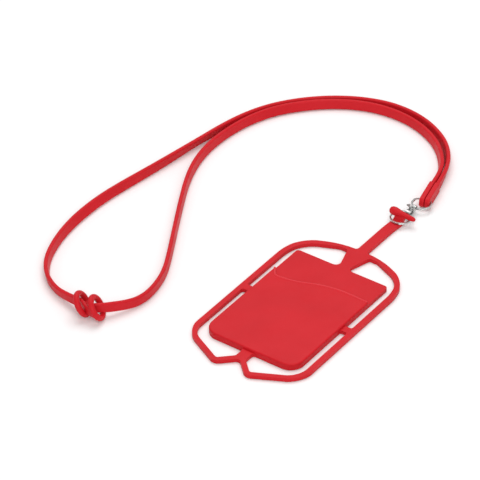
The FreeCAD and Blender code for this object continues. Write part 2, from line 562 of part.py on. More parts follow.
FIRST_RUN = 14.5          # each strap leaves its tab straight for this long
print("lower ring %s, hook %s, pivot %s" % (tuple(LOWER_RING), tuple(HOOK), tuple(pivot)))
print("eye %s, upper ring %s, tab hole %s" % (tuple(EYE), tuple(UPPER_RING), tuple(tab_hole)))
outer_points = [outer_start, outer_start + tab_along * FIRST_RUN] + [Vec(*p) for p in OUTER_ROUTE]
inner_points = [inner_start, inner_start + tab_along * FIRST_RUN] + [Vec(*p) for p in INNER_ROUTE]
outer_strap = strap_tube(outer_points, "outer_strap")
inner_strap = strap_tube(inner_points, "inner_strap")


# ---------------------------------------------------------------- hoops
def hoop(centre, stem_points, strap_points):
    """A moulded ring with the stem that joins it to its strap's end face."""
    ring = Part.makeTorus(HOOP_R, HOOP_WIRE_R, centre, HOOP_AXIS)
    for a, b in zip(stem_points, stem_points[1:]):
        ring = ring.fuse(sized_rod(a, b, STEM_R))
        ring = ring.fuse(Part.makeSphere(STEM_R, b))
    # the stem ends in the plane of the strap's end face, which is upright
    outwards = strap_points[-1] - strap_points[-2]
    outwards.z = 0
    outwards.normalize()
    block = Part.makeBox(20, 20, 20, Vec(-10, -10, -20))
    turned = FreeCAD.Placement(strap_points[-1], FreeCAD.Rotation(UP, outwards))
    block.Placement = turned.multiply(block.Placement)
    return ring.cut(block.common(Part.makeSphere(6, strap_points[-1]))).removeSplitter()


hoop_axis = Vec(HOOP_AXIS).normalize()
hoop_level = Vec(HOOP_AXIS.y, -HOOP_AXIS.x, 0).normalize()
hoop_up = hoop_level.cross(hoop_axis) * -1
if hoop_up.z < 0:
    hoop_up = hoop_up * -1
# the outer strap passes through the inner strap's hoop and ends on its own, and the other way round
outer_rim = OUTER_HOOP + hoop_level * HOOP_R
inner_rim = INNER_HOOP - hoop_up * HOOP_R * 0.9 - hoop_level * HOOP_R * 0.4
outer_hoop = hoop(OUTER_HOOP, [outer_points[-1], INNER_HOOP, outer_rim], outer_points)
inner_hoop = hoop(INNER_HOOP, [inner_points[-1], OUTER_HOOP - Vec(0, 0, 1.4), inner_rim], inner_points)

# ---------------------------------------------------------------- nodes
os.makedirs("parts", exist_ok=True)
export(card_plate, "card_plate")
export(stretch_loop, "stretch_loop")
export(holder_neck, "holder_neck")
export(stopper_head, "stopper_head")
export(pocket_front, "pocket_front")
export(lower_ring, "lower_ring")
export(clasp_body, "clasp_body")
export(rivet, "clasp_rivet")
export(trigger, "clasp_trigger")
export(spring, "trigger_spring")
export(swivel_eye, "swivel_eye")
export(upper_ring, "upper_ring")
export(outer_tab, "outer_tab")
export(inner_tab, "inner_tab")
export(outer_strap, "outer_strap")
export(inner_strap, "inner_strap")
export(outer_hoop, "outer_hoop")
export(inner_hoop, "inner_hoop")
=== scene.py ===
"""A silicone phone and card holder on a neck lanyard, lying on a pale table.

The holder is one soft moulding: a card pocket in a stretch loop, with a neck strap and a stopper head.
Two split rings and a swivel clasp join it to the two straps of the lanyard, whose moulded hoops are
looped through each other at the back of the neck. Shapes are built in millimetres and then brought to
metres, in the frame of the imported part.
"""

import logging
import math
from dataclasses import dataclass, field
from enum import Enum
from typing import Callable, Sequence, Union

import bmesh
import bpy
from mathutils import Matrix, Vector


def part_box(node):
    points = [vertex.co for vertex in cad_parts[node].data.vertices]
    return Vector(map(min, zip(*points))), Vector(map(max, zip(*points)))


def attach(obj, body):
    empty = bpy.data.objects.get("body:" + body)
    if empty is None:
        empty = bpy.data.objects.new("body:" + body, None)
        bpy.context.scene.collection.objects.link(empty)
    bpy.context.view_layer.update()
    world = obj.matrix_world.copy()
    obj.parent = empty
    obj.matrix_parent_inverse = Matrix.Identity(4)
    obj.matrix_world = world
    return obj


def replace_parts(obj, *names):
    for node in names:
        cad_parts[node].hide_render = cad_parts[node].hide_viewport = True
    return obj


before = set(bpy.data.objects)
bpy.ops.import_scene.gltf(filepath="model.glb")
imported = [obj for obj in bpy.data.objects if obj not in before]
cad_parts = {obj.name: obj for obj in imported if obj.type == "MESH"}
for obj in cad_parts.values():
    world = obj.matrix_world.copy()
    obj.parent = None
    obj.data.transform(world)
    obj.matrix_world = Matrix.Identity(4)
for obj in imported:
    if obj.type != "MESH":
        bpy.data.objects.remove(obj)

LOG = logging.getLogger("lanyard")
MM = 0.001
UP = Vector((0.0, 0.0, 1.0))


class Body(str, Enum):
    """The rigid groups that pieces ride on."""

    HOLDER = "holder"
    CLASP = "clasp"
    TRIGGER = "trigger"
    SWIVEL = "swivel"
    LOWER_RING = "lower_ring"
    UPPER_RING = "upper_ring"
    LANYARD = "lanyard"


class Slot(str, Enum):
    """The record's material slots."""

    SILICONE = "silicone"
    CHROME = "chrome"
    SPRING = "spring_steel"


# ---------------------------------------------------------------- shader building
class Signal:
    """One socket's value, with arithmetic that adds Math nodes."""

    def __init__(self, graph: "Graph", socket: bpy.types.NodeSocket) -> None:
        """Wraps a socket of a graph."""
        self.graph = graph
        self.socket = socket

    def _math(self, operation: str, first: "Value", second: "Value") -> "Signal":
        """Adds one Math node and returns its output."""
        return self.graph.node("ShaderNodeMath", {"operation": operation}, {0: first, 1: second})

    def __add__(self, other: "Value") -> "Signal":
        """self + other."""
        return self._math("ADD", self, other)

    def __radd__(self, other: "Value") -> "Signal":
        """other + self."""
        return self._math("ADD", other, self)

    def __sub__(self, other: "Value") -> "Signal":
        """self - other."""
        return self._math("SUBTRACT", self, other)

    def __rsub__(self, other: "Value") -> "Signal":
        """other - self."""
        return self._math("SUBTRACT", other, self)

    def __mul__(self, other: "Value") -> "Signal":
        """self * other."""
        return self._math("MULTIPLY", self, other)

    def __rmul__(self, other: "Value") -> "Signal":
        """other * self."""
        return self._math("MULTIPLY", other, self)


Value = Union[Signal, float, tuple]

# Places of the Mix node's two colours among its inputs, and of the mixed colour among its outputs.
FIRST_COLOUR = 6
SECOND_COLOUR = 7
MIXED_COLOUR = 2


class Graph:
    """A material and its node tree."""

    def __init__(self, name: str) -> None:
        """Starts an empty material.

        Args:
            name: the material's name.
        """
        self.material = bpy.data.materials.new(name)
        self.material.use_nodes = True
        self.tree = self.material.node_tree
        self.tree.nodes.clear()

    def node(self, kind: str, settings: dict, inputs: dict, output: Union[int, str] = 0) -> Signal:
        """Adds one node.

        Args:
            kind: the node's type.
            settings: properties to set before the sockets; "stops" sets a ramp's stops.
            inputs: values or signals for the sockets, by name or place.
            output: the socket to return, by name or place.

        Returns:
            The chosen output.
        """
        made = self.tree.nodes.new(kind)
        for key, value in settings.items():
            if key == "stops":
                ramp = made.color_ramp
                for element, (place, colour) in zip(ramp.elements, value):
                    element.position = place
                    element.color = colour
            else:
                setattr(made, key, value)
        for key, value in inputs.items():
            if isinstance(value, Signal):
                self.tree.links.new(value.socket, made.inputs[key])
            else:
                made.inputs[key].default_value = value
        return Signal(self, made.outputs[output])

    def place(self) -> Signal:
        """The surface's Object coordinates."""
        return self.node("ShaderNodeTexCoord", {}, {}, "Object")

    def noise(self, scale: float, detail: float = 2.0, rough: float = 0.5) -> Signal:
        """Noise over Object coordinates, from 0 to 1."""
        values = {"Vector": self.place(), "Scale": scale, "Detail": detail, "Roughness": rough}
        return self.node("ShaderNodeTexNoise", {}, values, "Fac")

    def mix(self, share: Value, first: Value, second: Value) -> Signal:
        """A colour between two colours.

        Args:
            share: how much of the second colour shows, from 0 to 1.
            first: the colour at 0.
            second: the colour at 1.

        Returns:
            The mixed colour.
        """
        inputs = {"Factor": share}
        for place, colour in ((FIRST_COLOUR, first), (SECOND_COLOUR, second)):
            inputs[place] = colour if isinstance(colour, Signal) else (*colour, 1.0)
        return self.node("ShaderNodeMix", {"data_type": "RGBA"}, inputs, MIXED_COLOUR)

    def spread(self, signal: Value, low: float, high: float, to_low: float, to_high: float) -> Signal:
        """Maps a range of values to another and clamps it."""
        values = {"Value": signal, "From Min": low, "From Max": high, "To Min": to_low, "To Max": to_high}
        return self.node("ShaderNodeMapRange", {"clamp": True}, values)

    def bump(self, height: Signal, depth: float, strength: float = 1.0) -> Signal:
        """A Bump node over a height signal, with the depth in metres."""
        return self.node("ShaderNodeBump", {}, {"Height": height, "Distance": depth, "Strength": strength})

    def surface(self, inputs: dict) -> bpy.types.Material:
        """Ends the material with a Principled shader.

        Args:
            inputs: values or signals for the shader's sockets, by name.

        Returns:
            The finished material.
        """
        shader = self.node("ShaderNodeBsdfPrincipled", {}, inputs)
        end = self.tree.nodes.new("ShaderNodeOutputMaterial")
        self.tree.links.new(shader.socket, end.inputs["Surface"])
        return self.material


# ---------------------------------------------------------------- finishes
@dataclass(frozen=True)
class Silicone:
    """Dyed silicone rubber with a satin moulded skin. Patterns are in features per metre."""

    name: str
    deep: tuple = (0.560, 0.0090, 0.0160)
    light: tuple = (0.600, 0.0110, 0.0190)
    dusty: tuple = (0.65, 0.040, 0.050)
    rough: float = 0.46
    rubbed: float = 0.06
    dulled: float = 0.07
    specular: float = 0.16
    under_skin: float = 0.06
    under_skin_radius: tuple = (1.0, 0.12, 0.08)
    under_skin_scale: float = 0.0012
    clouds: float = 38.0
    lint: float = 1400.0
    lint_strength: float = 0.35
    smears: float = 120.0
    fine_grain: float = 5200.0
    broad_grain: float = 650.0
    broad_share: float = 0.3
    grain_depth: float = 0.00003

    def material(self) -> bpy.types.Material:
        """Builds the finish: cloudy dye, handling marks, fine grain and a few specks of lint.

        Returns:
            The material.
        """
        graph = Graph(self.name)
        clouds = graph.spread(graph.noise(self.clouds, 3.0), 0.35, 0.65, 0.0, 1.0)
        dye = graph.mix(clouds, self.deep, self.light)
        lint = graph.spread(graph.noise(self.lint, 1.0), 0.74, 0.80, 0.0, self.lint_strength)
        colour = graph.mix(lint, dye, self.dusty)
        smears = graph.noise(self.smears, 4.0, 0.6)
        rough = graph.spread(smears, 0.3, 0.7, self.rough - self.rubbed, self.rough + self.dulled)
        fine, broad = graph.noise(self.fine_grain), graph.noise(self.broad_grain)
        grain = fine * (1.0 - self.broad_share) + broad * self.broad_share
        return graph.surface({
            "Base Color": colour,
            "Roughness": rough,
            "Specular IOR Level": self.specular,
            "Subsurface Weight": self.under_skin,
            "Subsurface Radius": self.under_skin_radius,
            "Subsurface Scale": self.under_skin_scale,
            "Normal": graph.bump(grain, self.grain_depth, 0.5),
        })


@dataclass(frozen=True)
class Plated:
    """Bright plated metal with fine wear. Patterns are in features per metre."""

    name: str
    tone: tuple = (0.60, 0.61, 0.60)
    worn: tuple = (0.30, 0.31, 0.30)
    rough: float = 0.20
    patches: float = 700.0
    patch_dulling: float = 0.10
    hairs: tuple = (400.0, 9000.0, 400.0)
    hair_dulling: float = 0.12
    hair_depth: float = 0.000006

    def material(self) -> bpy.types.Material:
        """Builds the finish: bright metal with hairline scratches and duller patches.

        Returns:
            The material.
        """
        graph = Graph(self.name)
        patches = graph.spread(graph.noise(self.patches, 3.0), 0.45, 0.75, 0.0, 1.0)
        colour = graph.mix(patches, self.tone, self.worn)
        stretched = graph.node("ShaderNodeMapping", {}, {"Vector": graph.place(), "Scale": self.hairs})
        values = {"Vector": stretched, "Scale": 1.0, "Detail": 2.0}
        hairs = graph.node("ShaderNodeTexNoise", {}, values, "Fac")
        scratched = graph.spread(hairs, 0.55, 0.75, self.rough, self.rough + self.hair_dulling)
        rough = patches * self.patch_dulling + scratched
        return graph.surface({
            "Base Color": colour,
            "Metallic": 1.0,
            "Roughness": rough,
            "Normal": graph.bump(hairs, self.hair_depth, 0.4),
        })


@dataclass(frozen=True)
class Tabletop:
    """The plain pale surface under the object."""

    name: str
    tone: tuple = (0.93, 0.93, 0.93)
    rough: float = 0.85
    specular: float = 0.2

    def material(self) -> bpy.types.Material:
        """Builds the matt pale finish.

        Returns:
            The material.
        """
        colour = (*self.tone, 1.0)
        values = {"Base Color": colour, "Roughness": self.rough, "Specular IOR Level": self.specular}
        return Graph(self.name).surface(values)


# ---------------------------------------------------------------- mesh helpers
@dataclass(frozen=True)
class Corner:
    """One corner of a flat outline, in millimetres, and the radius that rounds it."""

    x: float
    y: float
    radius: float = 0.0

    @property
    def spot(self) -> Vector:
        """The corner as a flat vector."""
        return Vector((self.x, self.y))

    def mirrored(self) -> "Corner":
        """The same corner on the other side of x = 0."""
        return Corner(-self.x, self.y, self.radius)


def mirrored(corners: Sequence[Corner]) -> list[Corner]:
    """The outline on the other side of x = 0, still running the same way round."""
    return [corner.mirrored() for corner in reversed(corners)]


# The most that one facet of a rounded corner turns, and the angle past which an edge counts as sharp.
ARC_STEP = math.radians(6.0)
SHARP = math.radians(50.0)
# How far a cutting shape reaches past what it cuts, in millimetres.
CUT_PAST = 1.0


def outline(corners: Sequence[Corner]) -> bmesh.types.BMesh:
    """Makes one flat face with rounded corners.

    Args:
        corners: the outline's corners, in order.

    Returns:
        A mesh that holds only that face, at z = 0.
    """
    bm = bmesh.new()
    verts = [bm.verts.new((corner.x, corner.y, 0.0)) for corner in corners]
    bm.faces.new(verts)
    count = len(corners)
    for index, (vert, corner) in enumerate(zip(verts, corners)):
        if corner.radius <= 0:
            continue
        back = (corners[index - 1].spot - corner.spot).normalized()
        ahead = (corners[(index + 1) % count].spot - corner.spot).normalized()
        half = math.acos(max(-1.0, min(1.0, back.dot(ahead)))) / 2
        turn = math.pi - 2 * half
        bmesh.ops.bevel(
            bm,
            geom=[vert],
            offset=corner.radius / math.tan(half),
            offset_type="OFFSET",
            segments=max(3, round(turn / ARC_STEP)),
            profile=0.5,
            affect="VERTICES",
            material=-1,
        )
    bm.normal_update()
    if bm.faces[:][0].normal.z < 0:
        bmesh.ops.reverse_faces(bm, faces=bm.faces[:])
    return bm


def prism(corners: Sequence[Corner], low: float, high: float) -> bmesh.types.BMesh:
    """Makes a closed plate of an outline.

    Args:
        corners: the outline's corners, in order.
        low: the height of its underside, in millimetres.
        high: the height of its top.

    Returns:
        The closed mesh.
    """
    bm = outline(corners)
    bmesh.ops.translate(bm, verts=bm.verts[:], vec=(0.0, 0.0, low))
    grown = bmesh.ops.extrude_face_region(bm, geom=bm.faces[:])
    raised = [part for part in grown["geom"] if isinstance(part, bmesh.types.BMVert)]
    bmesh.ops.translate(bm, verts=raised, vec=(0.0, 0.0, high - low))
    bmesh.ops.recalc_face_normals(bm, faces=bm.faces[:])
    return bm


def helper(bm: bmesh.types.BMesh) -> bpy.types.Object:
    """Turns a bmesh into an object for a boolean.

    Args:
        bm: the mesh, which is freed.

    Returns:
        The object, which the caller discards.
    """
    mesh = bpy.data.meshes.new("helper")
    bm.to_mesh(mesh)
    bm.free()
    made = bpy.data.objects.new("helper", mesh)
    bpy.context.scene.collection.objects.link(made)
    return made


def discard(thing: bpy.types.Object) -> None:
    """Removes a helper object and its data.

    Args:
        thing: a mesh or a curve object.
    """
    data = thing.data
    bpy.data.objects.remove(thing)
    if isinstance(data, bpy.types.Mesh):
        bpy.data.meshes.remove(data)
    else:
        bpy.data.curves.remove(data)


def evaluated(thing: bpy.types.Object) -> bmesh.types.BMesh:
    """Takes the mesh that an object shows, with its modifiers or its curve's bevel applied.

    Args:
        thing: a mesh or a curve object.

    Returns:
        A copy of that mesh.
    """
    bpy.context.view_layer.update()
    seen = thing.evaluated_get(bpy.context.evaluated_depsgraph_get())
    mesh = bpy.data.meshes.new_from_object(seen)
    bm = bmesh.new()
    bm.from_mesh(mesh)
    bpy.data.meshes.remove(mesh)
    return bm


def carved(base: bmesh.types.BMesh, cutters: Sequence[bmesh.types.BMesh]) -> bmesh.types.BMesh:
    """Cuts closed shapes out of another, and frees them all.

    Args:
        base: the shape to cut.
        cutters: the shapes to take away.

    Returns:
        What is left.
    """
    body = helper(base)
    tools = [helper(cutter) for cutter in cutters]
    for tool in tools:
        cut = body.modifiers.new("cut", "BOOLEAN")
        cut.operation = "DIFFERENCE"
        cut.solver = "EXACT"
        cut.object = tool
    result = evaluated(body)
    for thing in [body, *tools]:
        discard(thing)
    return result


def round_edges(
    bm: bmesh.types.BMesh, width: float, steps: int, chosen: Callable[[bmesh.types.BMEdge], bool]
) -> None:
    """Rounds the sharp edges that a test picks.

    Args:
        bm: the mesh to change.
        width: how far the rounding reaches, in millimetres.
        steps: how many strips of faces it gets.
        chosen: says whether an edge is rounded.
    """
    edges = [
        edge
        for edge in bm.edges
        if len(edge.link_faces) == 2 and edge.calc_face_angle(0.0) > SHARP and chosen(edge)
    ]
    bmesh.ops.bevel(
        bm,
        geom=edges,
        offset=width,
        offset_type="OFFSET",
        segments=steps,
        profile=0.5,
        affect="EDGES",
        clamp_overlap=True,
        material=-1,
    )


def level_at(height: float) -> Callable[[bmesh.types.BMEdge], bool]:
    """A test for edges that lie at one height."""
    return lambda edge: all(abs(vert.co.z - height) < 1e-3 for vert in edge.verts)


def make_piece(
    name: str,
    bm: bmesh.types.BMesh,
    finish: bpy.types.Material,
    body: Body,
    scale: float = MM,
    weighted: bool = True,
) -> bpy.types.Object:
    """Turns a finished bmesh into a piece that rides on a body.

    Args:
        name: the piece's name.
        bm: its mesh, which is freed.
        finish: its material.
        body: the rigid group that it rides on.
        scale: what brings the mesh to metres.
        weighted: whether large faces keep their own normals beside rounded edges.

    Returns:
        The new object.
    """
    bmesh.ops.scale(bm, verts=bm.verts[:], vec=(scale, scale, scale))
    for face in bm.faces:
        face.smooth = True
    for edge in bm.edges:
        edge.smooth = edge.calc_face_angle(0.0) < SHARP
    mesh = bpy.data.meshes.new(name)
    bm.to_mesh(mesh)
    bm.free()
    mesh.materials.append(finish)
    piece = bpy.data.objects.new(name, mesh)
    bpy.context.scene.collection.objects.link(piece)
    if weighted:
        normals = piece.modifiers.new("even_normals", "WEIGHTED_NORMAL")
        normals.keep_sharp = True
        normals.weight = 100
    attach(piece, body.value)
    LOG.info("%s: %d faces", name, len(mesh.polygons))
    return piece


def route_curve(name: str, points: Sequence[tuple], leans: Sequence[float]) -> bpy.types.Object:
    """A smooth open line through the air, as a NURBS spline.

    Args:
        name: the curve's name.
        points: its control points, in metres.
        leans: the section's turn about the line at each point, in degrees.

    Returns:
        The curve object.
    """
    data = bpy.data.curves.new(name, "CURVE")
    data.dimensions = "3D"
    data.resolution_u = 10
    data.twist_mode = "Z_UP"
    spline = data.splines.new("NURBS")
    spline.points.add(len(points) - 1)
    for point, spot, lean in zip(spline.points, points, leans):
        point.co = (*spot, 1.0)
        point.tilt = math.radians(lean)
    spline.order_u = 3
    spline.use_endpoint_u = True
    made = bpy.data.objects.new(name, data)
    bpy.context.scene.collection.objects.link(made)
    return made


def line_of(curve: bpy.types.Object) -> list[Vector]:
    """Reads the points that a curve passes through.

    Args:
        curve: a curve that has no bevel yet.

    Returns:
        The points, in metres, from its start to its end.
    """
    bm = evaluated(curve)
    bm.verts.ensure_lookup_table()
    spots = [vert.co.copy() for vert in bm.verts]
    bm.free()
    return spots


def section_curve(width: float, height: float, radius: float) -> bpy.types.Object:
    """Makes the rounded rectangle that a curve sweeps along its line.

    Args:
        width: its size across the line, level with the ground, in metres.
        height: its upright size.
        radius: what rounds its corners.

    Returns:
        The closed curve.
    """
    half_w, half_h = width / 2, height / 2
    bm = outline([
        Corner(-half_w, -half_h, radius), Corner(half_w, -half_h, radius),
        Corner(half_w, half_h, radius), Corner(-half_w, half_h, radius),
    ])
    rim = [loop.vert.co.copy() for loop in bm.faces[:][0].loops]
    bm.free()
    data = bpy.data.curves.new("section", "CURVE")
    data.dimensions = "2D"
    spline = data.splines.new("POLY")
    spline.points.add(len(rim) - 1)
    for point, spot in zip(spline.points, rim):
        point.co = (spot.x, spot.y, 0.0, 1.0)
    spline.use_cyclic_u = True
    made = bpy.data.objects.new("section", data)
    bpy.context.scene.collection.objects.link(made)
    return made


def swept(curve: bpy.types.Object, section: bpy.types.Object) -> bmesh.types.BMesh:
    """Sweeps a section along a curve with closed ends, and removes both.

    Args:
        curve: the line, with its turn and scale at each point.
        section: the closed outline to sweep.

    Returns:
        The closed mesh, in metres.
    """
    curve.data.bevel_mode = "OBJECT"
    curve.data.bevel_object = section
    curve.data.use_fill_caps = True
    bm = evaluated(curve)
    bmesh.ops.remove_doubles(bm, verts=bm.verts[:], dist=1e-7)
    bmesh.ops.recalc_face_normals(bm, faces=bm.faces[:])
    discard(curve)
    discard(section)
    return bm


# From a split ring's outer edge to the middle of its wire, in millimetres.
RING_HALF = 0.55


def torus(radius: float, wire: float, around: int) -> bmesh.types.BMesh:
    """Makes a round ring about the z axis, in millimetres.

    Args:
        radius: from the middle to the wire's middle.
        wire: the wire's own radius.
        around: how many steps it has round the axis.

    Returns:
        The closed mesh.
    """
    bm = bmesh.new()
    made = bmesh.ops.create_circle(bm, cap_ends=False, segments=20, radius=wire)
    upright = Matrix.Translation((radius, 0.0, 0.0)) @ Matrix.Rotation(math.pi / 2, 4, "X")
    bmesh.ops.transform(bm, matrix=upright, verts=made["verts"])
    bmesh.ops.spin(
        bm, geom=bm.verts[:] + bm.edges[:], cent=(0.0, 0.0, 0.0), axis=(0.0, 0.0, 1.0),
        angle=math.tau, steps=around, use_merge=True,
    )
    bmesh.ops.remove_doubles(bm, verts=bm.verts[:], dist=1e-4)
    bmesh.ops.recalc_face_normals(bm, faces=bm.faces[:])
    return bm


def shifted(start: Vector, end: Vector, gap: float) -> tuple[Vector, Vector]:
    """A flat line moved to its right by a gap, as a point and a direction."""
    along = (end - start).normalized()
    return start + Vector((along.y, -along.x)) * gap, along


def crossing(first: tuple[Vector, Vector], second: tuple[Vector, Vector]) -> Vector:
    """Finds where two flat lines cross.

    Args:
        first: a point of one line and its direction.
        second: a point of the other and its direction.

    Returns:
        The point that both pass through.
    """
    (spot, along), (other, way) = first, second
    cross = along.x * way.y - along.y * way.x
    reach = ((other.x - spot.x) * way.y - (other.y - spot.y) * way.x) / cross
    return spot + along * reach


# ---------------------------------------------------------------- holder
@dataclass
class Holder:
    """The soft moulding that holds the phone and the card. Sizes are in millimetres."""

    finish: bpy.types.Material
    # the bead's paler silicone: its lighter colour is a painted highlight along the mouth
    rim_painted_highlight: bpy.types.Material
    plate_low: Vector = field(init=False)
    plate_high: Vector = field(init=False)
    half_loop: float = field(init=False)
    plate_top_r: float = 2.0
    plate_bottom_r: float = 8.5
    crown: float = 63.5
    lobe: float = -63.4
    shoulder_x: float = 13.0
    corner_x: float = 33.5
    corner_drop: float = 9.0
    side_drop: float = 22.5
    foot_rise: float = 13.9
    lobe_x: float = 10.2
    notch_rise: float = 9.8
    side_band: float = 3.2
    top_band: float = 3.1
    bottom_band: float = 2.8
    leg_band: float = 3.0
    bridge: float = 4.4
    waist: float = 4.8
    spread: float = 14.6
    bottom_web: float = 6.4
    bridge_fillet: float = 1.2
    web_fillet: float = 1.6
    neck: float = 6.0
    edge: float = 0.75
    mouth_side: float = 31.0
    mouth_top: float = 60.0
    bead: float = 1.2
    bead_proud: float = 0.36
    bead_inset: float = 0.5
    pocket_proud: float = 0.03
    pocket_edge: float = 1.0
    mouth_edge: float = 0.28
    block_top: float = 30.0
    block_lift: float = 0.1
    sheet: float = 1.0
    card_half: float = 27.45
    card_floor: float = 2.6
    card_r: float = 6.0
    card_top: float = 50.0
    card_sink: float = 0.02
    head_tilt: float = math.radians(3.5)
    rise_start: float = 97.55
    rise_r: float = 2.4
    rise_angle: float = math.radians(59.0)
    neck_end: float = 103.9
    drift_start: float = 86.0
    drift: float = 1.4
    neck_cuts: int = 24

    def __post_init__(self) -> None:
        """Reads the plate's and the loop's sizes from the frame."""
        low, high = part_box("card_plate")
        self.plate_low = low / MM
        self.plate_high = high / MM
        self.half_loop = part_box("stretch_loop")[1].x / MM

    @property
    def thick(self) -> float:
        """The moulding's thickness."""
        return self.plate_high.z

    @property
    def pocket_high(self) -> float:
        """The height of the pocket's front."""
        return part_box("pocket_front")[1].z / MM

    def outer_half(self) -> list[Corner]:
        """Draws the right half of the moulding's outline.

        Returns:
            Its corners, from the neck's end to the bottom lobe.
        """
        return [
            Corner(self.neck / 2, self.neck_end),
            Corner(self.neck / 2, self.crown, 2.0),
            Corner(self.shoulder_x, self.crown, 40.0),
            Corner(self.corner_x, self.crown - self.corner_drop, 20.0),
            Corner(self.half_loop, self.crown - self.side_drop, 30.0),
            Corner(self.half_loop, self.lobe + self.foot_rise, 15.0),
            Corner(self.lobe_x, self.lobe, 4.5),
        ]

    def windows(self) -> list[list[Corner]]:
        """Draws the four openings between the plate and the loop.

        Returns:
            One outline for each.
        """
        half, top, bottom = self.plate_high.x, self.plate_high.y, self.plate_low.y
        spots = [corner.spot for corner in self.outer_half()]
        shoulder, turn, side_top, side_foot, lobe = spots[2:7]
        notch = Vector((0.0, self.lobe + self.notch_rise))
        crown = shifted(Vector((0.0, self.crown)), shoulder, self.top_band)
        slope = shifted(shoulder, turn, self.top_band)
        bend = shifted(turn, side_top, self.side_band)
        side = shifted(side_top, side_foot, self.side_band)
        foot = shifted(side_foot, lobe, self.bottom_band)
        leg = shifted(lobe, notch, self.leg_band)
        web = (Vector((self.bottom_web / 2, 0.0)), Vector((0.0, 1.0)))
        slot = self.half_loop - self.side_band
        a, b, c = crossing(crown, slope), crossing(slope, bend), crossing(bend, side)
        d, e, f = crossing(side, foot), crossing(foot, leg), crossing(web, leg)
        upper = [
            Corner(half, self.bridge / 2, self.bridge_fillet),
            Corner(half, top, self.plate_top_r),
            Corner(self.waist / 2, top, 3.4),
            Corner(self.spread / 2, self.crown - self.top_band, 0.8),
            Corner(a.x, a.y, 5.0),
            Corner(b.x, b.y, 16.9),
            Corner(c.x, c.y, 26.8),
            Corner(slot, self.bridge / 2, self.bridge_fillet),
        ]
        lower = [
            Corner(half, -self.bridge / 2, self.bridge_fillet),
            Corner(slot, -self.bridge / 2, self.bridge_fillet),
            Corner(d.x, d.y, 11.8),
            Corner(e.x, e.y, self.web_fillet),
            Corner(f.x, f.y, self.web_fillet),
            Corner(self.bottom_web / 2, bottom, self.web_fillet),
            Corner(half, bottom, self.plate_bottom_r),
        ]
        return [upper, lower, mirrored(upper), mirrored(lower)]

    def bend_up(self, spot: Vector) -> Vector:
        """Moves a point of the flat neck to where it lies once the neck rises through the ring.

        Args:
            spot: the point on the flat moulding.

        Returns:
            Its place on the risen one. A point below the drift's start stays where it is.
        """
        moved = spot.copy()
        past = max(0.0, moved.y - self.drift_start) / (self.neck_end - self.drift_start)
        moved.x += self.drift * past * past
        run = moved.y - self.rise_start
        if run <= 0:
            return moved
        offset = moved.z - self.thick / 2
        angle = min(run / self.rise_r, self.rise_angle)
        rest = max(0.0, run - self.rise_r * self.rise_angle)
        moved.y = self.rise_start + self.rise_r * math.sin(angle) + rest * math.cos(angle)
        moved.z = self.thick / 2 + self.rise_r * (1 - math.cos(angle)) + rest * math.sin(angle)
        moved.y -= offset * math.sin(angle)
        moved.z += offset * math.cos(angle)
        return moved

    def moulding(self) -> bpy.types.Object:
        """Moulds the plate, the loop and the neck strap.

        Returns:
            The one piece that they make.
        """
        half = self.outer_half()
        rim = half + [Corner(0.0, self.lobe + self.notch_rise, 2.5)] + mirrored(half)
        cutters = [prism(window, -CUT_PAST, self.thick + CUT_PAST) for window in self.windows()]
        bm = carved(prism(rim, 0.0, self.thick), cutters)
        round_edges(bm, self.edge, 4, level_at(self.thick))
        round_edges(bm, self.edge * 0.8, 3, level_at(0.0))
        for index in range(self.neck_cuts):
            y = self.drift_start + (self.neck_end - self.drift_start) * index / self.neck_cuts
            bmesh.ops.bisect_plane(
                bm, geom=bm.verts[:] + bm.edges[:] + bm.faces[:], dist=1e-5,
                plane_co=(0.0, y, 0.0), plane_no=(0.0, 1.0, 0.0),
            )
        for vert in bm.verts:
            vert.co = self.bend_up(vert.co)
        return make_piece("holder_moulding", bm, self.finish, Body.HOLDER)

    def mouth_rim(self) -> list[Corner]:
        """Draws what is cut away above the pocket's mouth.

        Returns:
            Its corners: the wavy mouth from left to right, then the two above it.
        """
        side, top = self.mouth_side, self.mouth_top
        return [
            Corner(-side, 23.8), Corner(-25.5, 15.6, 4.0), Corner(-13.0, 17.0, 35.0),
            Corner(5.0, 25.3, 45.0), Corner(side, 24.5), Corner(side, top), Corner(-side, top),
        ]

    def lip(self) -> bpy.types.Object:
        """Lays the thin rounded bead along the pocket's mouth, in a paler silicone that paints a highlight on
        the rim.

        Returns:
            The bead.
        """
        reach = self.plate_high.x - self.bead_inset
        bm = outline(self.mouth_rim())
        rim = sorted((vert.co.x, vert.co.y) for vert in bm.verts if vert.co.y < self.block_top)
        bm.free()
        inner = [spot for spot in rim if abs(spot[0]) < reach]
        ends = []
        for (x, y), (out_x, out_y) in ((inner[0], rim[0]), (inner[-1], rim[-1])):
            edge_x = math.copysign(reach, x)
            ends.append((edge_x, y + (out_y - y) * (edge_x - x) / (out_x - x)))
        spots = [ends[0], *inner, ends[1]]
        height = self.pocket_high - self.bead / 2 + self.bead_proud
        points = [(x * MM, y * MM, height * MM) for x, y in spots]
        curve = route_curve("lip_line", points, [0.0] * len(points))
        curve.data.resolution_u = 3
        bm = swept(curve, section_curve(self.bead * MM, self.bead * MM, self.bead * 0.48 * MM))
        # the bead wears the paler silicone, a painted highlight on the mouth's rim
        return make_piece(
            "pocket_lip", bm, self.rim_painted_highlight, Body.HOLDER, scale=1.0, weighted=False,
        )

